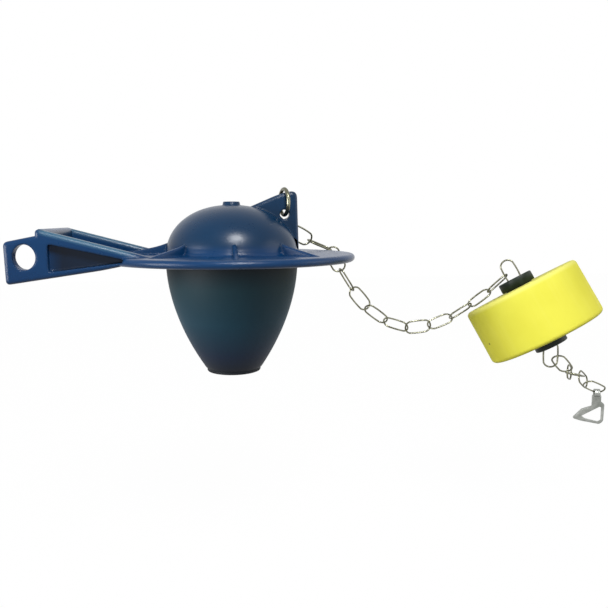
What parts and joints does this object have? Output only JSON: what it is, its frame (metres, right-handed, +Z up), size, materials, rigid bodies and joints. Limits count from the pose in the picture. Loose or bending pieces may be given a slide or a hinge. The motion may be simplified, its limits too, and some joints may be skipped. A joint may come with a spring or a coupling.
{
  "type": "toilet flapper",
  "caption": "Blue rubber cistern flapper with a hollow bulb, ribbed flange and ear arms; a fine steel chain runs through a foam float to a wire clip.",
  "frame": {"origin": "on the axis of the two pegs that the ears hang on, midway between the ears", "axes": "+X from the pegs towards the bulb, +Y along the peg axis, +Z up off the valve seat"},
  "size_m": [0.2376, 0.088, 0.1035],
  "materials": {
    "blue_rubber": "smooth moulded, slightly glossy",
    "chain_steel": "bare wire with a dull olive tint",
    "clip_steel": "stamped sheet, dull",
    "yellow_foam": "closed-cell foam, matt",
    "black_plastic": "moulded, satin"
  },
  "bodies": {
    "flapper": {"flapper_body": "blue_rubber"},
    "ring": {"lug_ring": "chain_steel"},
    "link_01": {"chain_link_01": "chain_steel"},
    "link_02": {"chain_link_02": "chain_steel"},
    "link_03": {"chain_link_03": "chain_steel"},
    "link_04": {"chain_link_04": "chain_steel"},
    "link_05": {"chain_link_05": "chain_steel"},
    "link_06": {"chain_link_06": "chain_steel"},
    "link_07": {"chain_link_07": "chain_steel"},
    "link_08": {"chain_link_08": "chain_steel"},
    "link_09": {"chain_link_09": "chain_steel"},
    "link_10": {"chain_link_10": "chain_steel"},
    "link_11": {"chain_link_11": "chain_steel"},
    "link_12": {"chain_link_12": "chain_steel"},
    "link_13": {"chain_link_13": "chain_steel"},
    "link_14": {"chain_link_14": "chain_steel"},
    "float": {"float": "yellow_foam", "float_bush": "black_plastic", "float_washer": "black_plastic", "chain_link_15": "chain_steel", "chain_link_16": "chain_steel", "chain_link_17": "chain_steel", "chain_link_18": "chain_steel"},
    "tail_link_1": {"tail_link_1": "chain_steel"},
    "tail_link_2": {"tail_link_2": "chain_steel"},
    "tail_link_3": {"tail_link_3": "chain_steel"},
    "tail_link_4": {"tail_link_4": "chain_steel"},
    "tail_link_5": {"tail_link_5": "chain_steel"},
    "tail_link_6": {"tail_link_6": "chain_steel"},
    "clip": {"chain_clip": "clip_steel"}
  },
  "joints": [
    {"name": "ring_hinge", "type": "hinge", "parent": "flapper", "child": "ring", "pos_m": [0.0841, 0, 0.013], "axis": [0, 1, 0], "range_deg": [-20, 0]},
    {"name": "link_01_hinge", "type": "hinge", "parent": "ring", "child": "link_01", "pos_m": [0.08331, 0.00343, 0.01464], "axis": [0.1446, -0.6263, -0.766], "range_deg": [0, 35]},
    {"name": "link_02_hinge", "type": "hinge", "parent": "link_01", "child": "link_02", "pos_m": [0.08504, 0.01169, 0.01116], "axis": [-0.9618, 0.093, -0.2576], "range_deg": [-50, 0]},
    {"name": "link_03_hinge", "type": "hinge", "parent": "link_02", "child": "link_03", "pos_m": [0.08966, 0.0188, 0.007], "axis": [0.5026, -0.6561, -0.5629], "range_deg": [0, 50]},
    {"name": "link_04_hinge", "type": "hinge", "parent": "link_03", "child": "link_04", "pos_m": [0.09708, 0.0229, 0.00281], "axis": [-0.5591, 0.1889, -0.8073], "range_deg": [-50, 10]},
    {"name": "link_05_hinge", "type": "hinge", "parent": "link_04", "child": "link_05", "pos_m": [0.10574, 0.02398, -0.0008], "axis": [-0.0465, 0.9822, 0.1819], "range_deg": [-50, 45]},
    {"name": "link_06_hinge", "type": "hinge", "parent": "link_05", "child": "link_06", "pos_m": [0.10978, 0.0236, -0.00934], "axis": [0.8734, -0.2401, 0.4236], "range_deg": [-50, 50]},
    {"name": "link_07_hinge", "type": "hinge", "parent": "link_06", "child": "link_07", "pos_m": [0.11472, 0.02313, -0.01738], "axis": [0.0552, -0.9943, 0.0916], "range_deg": [-50, 50]},
    {"name": "link_08_hinge", "type": "hinge", "parent": "link_07", "child": "link_08", "pos_m": [0.12077, 0.02256, -0.02462], "axis": [0.7366, 0.3328, 0.5887], "range_deg": [-50, 50]},
    {"name": "link_09_hinge", "type": "hinge", "parent": "link_08", "child": "link_09", "pos_m": [0.12829, 0.02185, -0.0303], "axis": [0.3513, -0.7513, 0.5587], "range_deg": [-50, 50]},
    {"name": "link_10_hinge", "type": "hinge", "parent": "link_09", "child": "link_10", "pos_m": [0.13729, 0.021, -0.03304], "axis": [-0.2432, -0.799, -0.5499], "range_deg": [-50, 50]},
    {"name": "link_11_hinge", "type": "hinge", "parent": "link_10", "child": "link_11", "pos_m": [0.14665, 0.02012, -0.0321], "axis": [0.1234, 0.3006, -0.9457], "range_deg": [-50, 50]},
    {"name": "link_12_hinge", "type": "hinge", "parent": "link_11", "child": "link_12", "pos_m": [0.15535, 0.0193, -0.02852], "axis": [0.1271, -0.8539, -0.5046], "range_deg": [-50, 50]},
    {"name": "link_13_hinge", "type": "hinge", "parent": "link_12", "child": "link_13", "pos_m": [0.16334, 0.01854, -0.02352], "axis": [-0.375, -0.7934, 0.4794], "range_deg": [-30, 50]},
    {"name": "link_14_hinge", "type": "hinge", "parent": "link_13", "child": "link_14", "pos_m": [0.17081, 0.01784, -0.01778], "axis": [-0.1074, 0.9603, 0.2573], "range_deg": [-50, 5]},
    {"name": "float_hinge", "type": "hinge", "parent": "link_14", "child": "float", "pos_m": [0.17784, 0.01718, -0.0115], "axis": [0.4078, 0.8354, -0.3686], "range_deg": [-45, 0]},
    {"name": "tail_link_1_hinge", "type": "hinge", "parent": "float", "child": "tail_link_1", "pos_m": [0.19323, 0.00749, -0.03901], "axis": [0.3111, 0.9378, -0.154], "range_deg": [-45, 5]},
    {"name": "tail_link_2_hinge", "type": "hinge", "parent": "tail_link_1", "child": "tail_link_2", "pos_m": [0.19588, 0.00665, -0.04476], "axis": [0, 0, -1], "range_deg": [-50, 50]},
    {"name": "tail_link_3_hinge", "type": "hinge", "parent": "tail_link_2", "child": "tail_link_3", "pos_m": [0.20204, 0.00919, -0.05096], "axis": [0.6457, -0.6691, 0.368], "range_deg": [-50, 50]},
    {"name": "tail_link_4_hinge", "type": "hinge", "parent": "tail_link_3", "child": "tail_link_4", "pos_m": [0.20771, 0.01622, -0.05375], "axis": [0.1747, 0.2389, 0.9552], "range_deg": [-50, 50]},
    {"name": "tail_link_5_hinge", "type": "hinge", "parent": "tail_link_4", "child": "tail_link_5", "pos_m": [0.21499, 0.02167, -0.05633], "axis": [0.6003, -0.7998, 0.0057], "range_deg": [-50, 50]},
    {"name": "tail_link_6_hinge", "type": "hinge", "parent": "tail_link_5", "child": "tail_link_6", "pos_m": [0.22152, 0.02648, -0.06118], "axis": [0.3262, 0.4144, 0.8496], "range_deg": [-50, 50]},
    {"name": "clip_hinge", "type": "hinge", "parent": "tail_link_6", "child": "clip", "pos_m": [0.22808, 0.02901, -0.06634], "axis": [0.9537, -0.3008, 0.0013], "range_deg": [-50, 50]}
  ]
}
